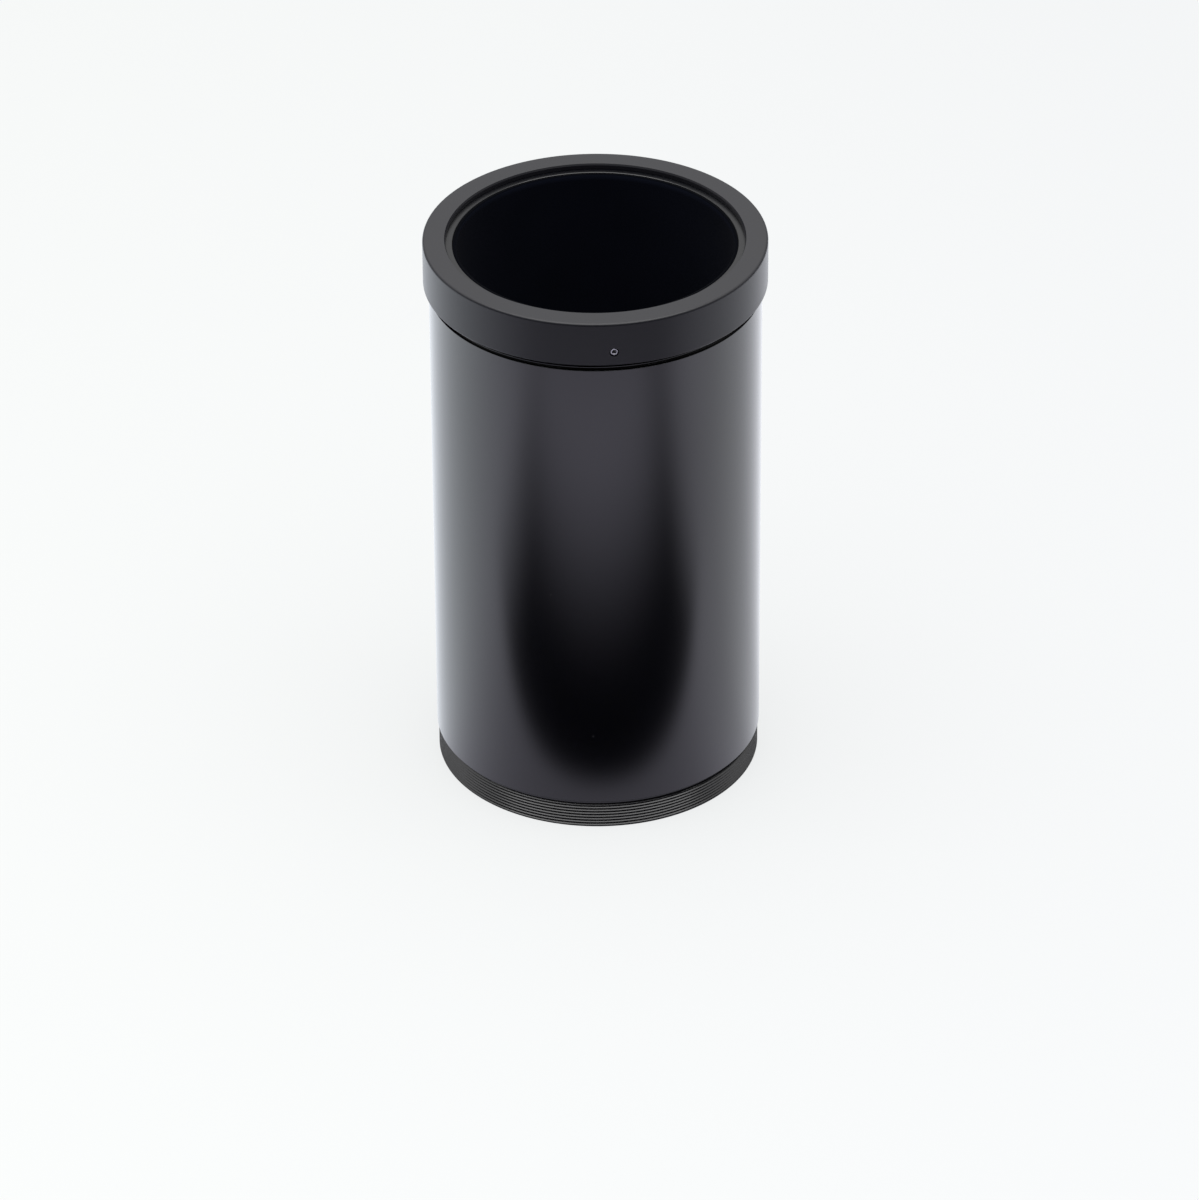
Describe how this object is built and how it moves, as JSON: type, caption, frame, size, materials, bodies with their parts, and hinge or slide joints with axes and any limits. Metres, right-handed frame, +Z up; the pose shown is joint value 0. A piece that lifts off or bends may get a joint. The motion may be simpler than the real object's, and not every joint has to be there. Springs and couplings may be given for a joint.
{
  "type": "draw tube",
  "caption": "Straight black draw tube with fine male threads at both ends, a locked collar and a flocked bore, for a telescope focuser.",
  "frame": {"origin": "centre of the foot, where the tube stands on its lower thread's end face", "axes": "+Z up along the tube's axis, towards the collar; -Y is the front, where the picture looks from"},
  "size_m": [0.075, 0.075, 0.13],
  "materials": {
    "tube_anodise": "smooth black anodised, semi-gloss",
    "collar_anodise": "blasted black anodised, matte",
    "flock": "blue-black flocked paper",
    "blackened_steel": "black oxide"
  },
  "bodies": {
    "root": {"tube": "tube_anodise", "collar": "collar_anodise", "flock_lining": "flock", "set_screw_1": "blackened_steel", "set_screw_2": "blackened_steel", "set_screw_3": "blackened_steel"}
  },
  "joints": []
}
